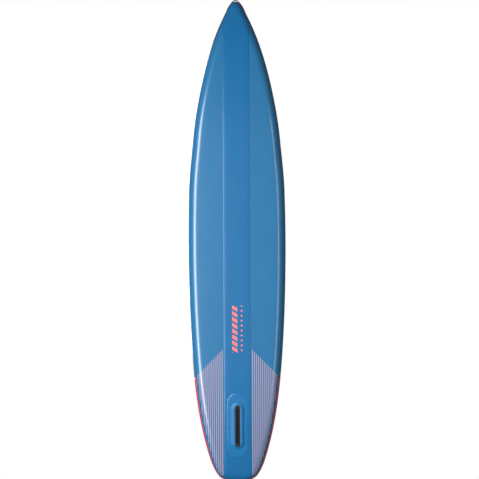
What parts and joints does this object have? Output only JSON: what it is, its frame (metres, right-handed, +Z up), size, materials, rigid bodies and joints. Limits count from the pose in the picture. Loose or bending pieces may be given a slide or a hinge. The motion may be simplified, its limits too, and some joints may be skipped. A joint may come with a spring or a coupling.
{
  "type": "stand up paddleboard",
  "caption": "Inflatable touring stand up paddleboard with a pointed nose, drop-stitch core, fin box, deck pad, handles, D-rings and valve.",
  "frame": {"origin": "under the middle of the board, on the surface it rests on", "axes": "+X to the nose, +Y to the left rail, +Z up through the deck"},
  "size_m": [3.844, 0.762, 0.3628],
  "materials": {
    "pvc_blue": "satin PVC laminate",
    "pvc_band_blue": "satin PVC laminate",
    "pvc_navy": "satin PVC laminate",
    "pvc_red": "satin PVC laminate",
    "pvc_stringer": "satin PVC laminate",
    "pvc_inner": "bare laminate",
    "yarn": "polyester yarn",
    "tape": "glued tape",
    "fin_base": "moulded, satin",
    "fin_insert": "moulded, fine grain",
    "eva": "EVA foam with cut grooves",
    "eva_kick": "EVA foam",
    "webbing": "woven polyester webbing",
    "grip": "padded neoprene",
    "patch": "satin PVC laminate",
    "steel": "polished stainless steel",
    "valve_plastic": "moulded",
    "valve_cap": "moulded",
    "seal": "silicone",
    "spring": "spring wire"
  },
  "bodies": {
    "hull": {"bottom_skin": "pvc_blue", "bottom_stringer": "pvc_stringer", "carry_handle_grip": "grip", "carry_handle_patches": "patch", "carry_handle_strap": "webbing", "core_bottom_sheet": "pvc_inner", "core_deck_sheet": "pvc_inner", "core_yarns": "yarn", "deck_pad": "eva", "deck_skin": "pvc_blue", "fin_box_base": "fin_base", "fin_box_insert": "fin_insert", "fin_box_patch": "pvc_blue", "inner_seam_tape_left": "tape", "inner_seam_tape_right": "tape", "inner_wall_left": "pvc_inner", "inner_wall_right": "pvc_inner", "kick_pad": "eva_kick", "nose_handle": "webbing", "nose_handle_patches": "patch", "rail_band_mid_left": "pvc_band_blue", "rail_band_mid_right": "pvc_band_blue", "rail_band_nose_left": "pvc_navy", "rail_band_nose_right": "pvc_navy", "rail_band_tail_left": "pvc_red", "rail_band_tail_right": "pvc_red", "ring_patches": "patch", "ring_tabs": "webbing", "tail_handle": "webbing", "tail_handle_patches": "patch", "valve_back_nut": "valve_plastic", "valve_body": "valve_plastic", "valve_gasket": "seal", "valve_patch": "patch", "valve_spring": "spring"},
    "cargo_ring_rear_left": {"cargo_ring_rear_left": "steel"},
    "cargo_ring_rear_right": {"cargo_ring_rear_right": "steel"},
    "cargo_ring_mid_left": {"cargo_ring_mid_left": "steel"},
    "cargo_ring_mid_right": {"cargo_ring_mid_right": "steel"},
    "cargo_ring_front_left": {"cargo_ring_front_left": "steel"},
    "cargo_ring_front_right": {"cargo_ring_front_right": "steel"},
    "leash_ring": {"leash_ring": "steel"},
    "cap_strap": {"valve_cap_strap": "seal"},
    "cap": {"valve_cap": "valve_cap", "valve_cap_seal": "seal"},
    "seal_disc": {"valve_seal_disc": "seal"},
    "stem": {"valve_stem": "valve_plastic"}
  },
  "joints": [
    {"name": "cargo_ring_rear_left_swing", "type": "hinge", "parent": "hull", "child": "cargo_ring_rear_left", "pos_m": [0.43994, 0.2, 0.16094], "axis": [-1, 0, -0.0099], "range_deg": [0, 168]},
    {"name": "cargo_ring_rear_right_swing", "type": "hinge", "parent": "hull", "child": "cargo_ring_rear_right", "pos_m": [0.43994, -0.2, 0.16094], "axis": [1, 0, 0.0099], "range_deg": [0, 168]},
    {"name": "cargo_ring_mid_left_swing", "type": "hinge", "parent": "hull", "child": "cargo_ring_mid_left", "pos_m": [0.75972, 0.185, 0.17389], "axis": [-0.9988, 0, -0.0483], "range_deg": [0, 168]},
    {"name": "cargo_ring_mid_right_swing", "type": "hinge", "parent": "hull", "child": "cargo_ring_mid_right", "pos_m": [0.75972, -0.185, 0.17389], "axis": [0.9988, 0, 0.0483], "range_deg": [0, 168]},
    {"name": "cargo_ring_front_left_swing", "type": "hinge", "parent": "hull", "child": "cargo_ring_front_left", "pos_m": [1.06939, 0.15, 0.20271], "axis": [-0.9945, 0, -0.1043], "range_deg": [0, 168]},
    {"name": "cargo_ring_front_right_swing", "type": "hinge", "parent": "hull", "child": "cargo_ring_front_right", "pos_m": [1.06939, -0.15, 0.20271], "axis": [0.9945, 0, 0.1043], "range_deg": [0, 168]},
    {"name": "leash_ring_swing", "type": "hinge", "parent": "hull", "child": "leash_ring", "pos_m": [-1.7791, 0, 0.23337], "axis": [0, 1, 0], "range_deg": [0, 168]},
    {"name": "cap_strap_swing", "type": "hinge", "parent": "hull", "child": "cap_strap", "pos_m": [0.363, 0, 0.16215], "axis": [0, 1, 0], "range_deg": [0, 120]},
    {"name": "cap_twist", "type": "hinge", "parent": "cap_strap", "child": "cap", "pos_m": [0.33, 0, 0.16895], "axis": [0, 0, 1], "range_deg": [0, 90]},
    {"name": "seal_press", "type": "slide", "parent": "hull", "child": "seal_disc", "axis": [0, 0, -1], "range_m": [0, 0.0045], "stiffness_N_per_m": 300, "springref_m": -0.004, "deforming": ["valve_spring"]},
    {"name": "stem_twist", "type": "hinge", "parent": "seal_disc", "child": "stem", "pos_m": [0.33, 0, 0.14594], "axis": [0, 0, 1], "range_deg": [0, 90]}
  ]
}
